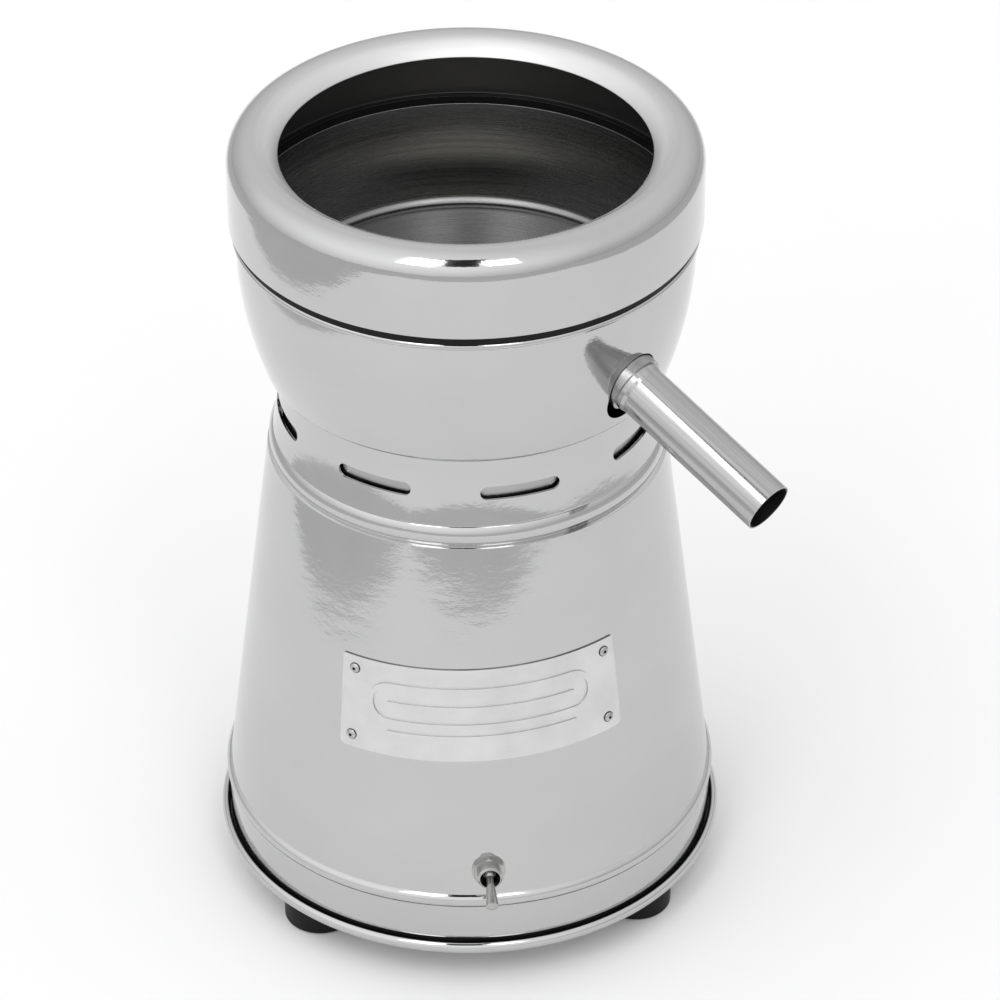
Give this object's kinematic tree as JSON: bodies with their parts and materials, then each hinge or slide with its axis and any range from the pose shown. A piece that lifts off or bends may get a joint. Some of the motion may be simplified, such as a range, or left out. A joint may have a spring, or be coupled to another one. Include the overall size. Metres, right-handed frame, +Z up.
{
  "type": "electric citrus juicer",
  "caption": "Electric citrus juicer: polished conical housing on rubber feet, slotted neck, open bowl with a rolled splash ring, sloping drain spout, toggle switch and a motor-driven reamer.",
  "frame": {"origin": "on the vertical drive axis, at the table surface under the feet", "axes": "+Z up along the drive axis; -Y is the front, with the switch and the nameplate; the spout leaves between +X and -Y"},
  "size_m": [0.268, 0.2724, 0.4112],
  "materials": {
    "polished_steel": "polished stainless sheet, mirror bright",
    "polished_base": "polished stainless sheet, mirror bright",
    "spun_steel": "spun stainless with fine circular marks",
    "satin_tube": "satin stainless tube",
    "weld_steel": "dressed weld",
    "satin_plate": "satin anodised, bright edges",
    "rivet_alloy": "bright domed",
    "nickel": "nickel plated, bright",
    "machined_steel": "turned",
    "bearing_steel": "ground",
    "lamination_steel": "stacked laminations",
    "zinc_steel": "zinc plated",
    "cast_aluminium": "as cast and machined",
    "baffle_aluminium": "mill finish",
    "enamelled_copper": "varnished copper wire",
    "brass": "bright",
    "rubber": "matte black moulded",
    "reamer_plastic": "moulded, off-white",
    "phenolic": "moulded phenolic",
    "block_plastic": "moulded nylon",
    "fan_plastic": "moulded nylon",
    "painted_shell": "satin enamel"
  },
  "bodies": {
    "housing": {"foot_front_right": "rubber", "foot_rear_right": "rubber", "foot_rear_left": "rubber", "foot_front_left": "rubber", "foot_screws": "zinc_steel", "foot_washers": "zinc_steel", "foot_nuts": "zinc_steel", "base_pan": "polished_base", "base_seal": "rubber", "nameplate": "satin_plate", "nameplate_rivets": "rivet_alloy", "toggle_body": "phenolic", "toggle_terminals": "brass", "toggle_bushing": "nickel", "toggle_washer": "nickel", "toggle_nut": "nickel", "cable_grommet": "rubber", "cone_housing": "polished_steel", "neck_collar": "polished_steel", "vent_baffle": "baffle_aluminium", "outer_bowl": "polished_steel", "bowl_screws": "zinc_steel", "bowl_nuts": "zinc_steel", "juice_bowl": "spun_steel", "bowl_chimney": "spun_steel", "spout_tube": "satin_tube", "spout_collar": "weld_steel", "rim_gasket": "rubber", "seal_housing": "cast_aluminium", "shaft_seal": "rubber", "upper_bearing_outer_race": "bearing_steel", "upper_bearing_balls": "bearing_steel", "lower_bearing_outer_race": "bearing_steel", "lower_bearing_balls": "bearing_steel", "upper_end_bell": "cast_aluminium", "lower_end_bell": "cast_aluminium", "motor_shell": "painted_shell", "stator_core": "lamination_steel", "stator_windings": "enamelled_copper", "motor_plate": "zinc_steel", "motor_bolts": "zinc_steel", "end_bell_bolts": "zinc_steel", "tie_bolts": "zinc_steel", "tie_bolt_nuts": "zinc_steel", "capacitor": "cast_aluminium", "capacitor_clamp": "zinc_steel", "terminal_block": "block_plastic", "terminal_screws": "brass"},
    "rotor": {"motor_shaft": "machined_steel", "rotor_core": "lamination_steel", "rotor_end_rings": "cast_aluminium", "cooling_fan": "fan_plastic", "upper_bearing_inner_race": "bearing_steel", "lower_bearing_inner_race": "bearing_steel", "slinger": "rubber", "drive_spindle": "machined_steel", "spindle_pin": "machined_steel"},
    "reamer": {"reamer": "reamer_plastic"},
    "splash_ring": {"splash_ring": "polished_steel"},
    "toggle": {"toggle_lever": "nickel"}
  },
  "joints": [
    {"name": "rotor_spin", "type": "hinge", "parent": "housing", "child": "rotor", "pos_m": [0, 0, 0.18], "axis": [0, 0, 1], "continuous": true},
    {"name": "reamer_lift", "type": "slide", "parent": "rotor", "child": "reamer", "axis": [0, 0, 1], "range_m": [0, 0.08]},
    {"name": "ring_lift", "type": "slide", "parent": "housing", "child": "splash_ring", "axis": [0, 0, 1], "range_m": [0, 0.06]},
    {"name": "toggle_throw", "type": "hinge", "parent": "housing", "child": "toggle", "pos_m": [0.00216, -0.12388, 0.0665], "axis": [-0.9998, -0.0175, 0], "range_deg": [0, 50]}
  ]
}
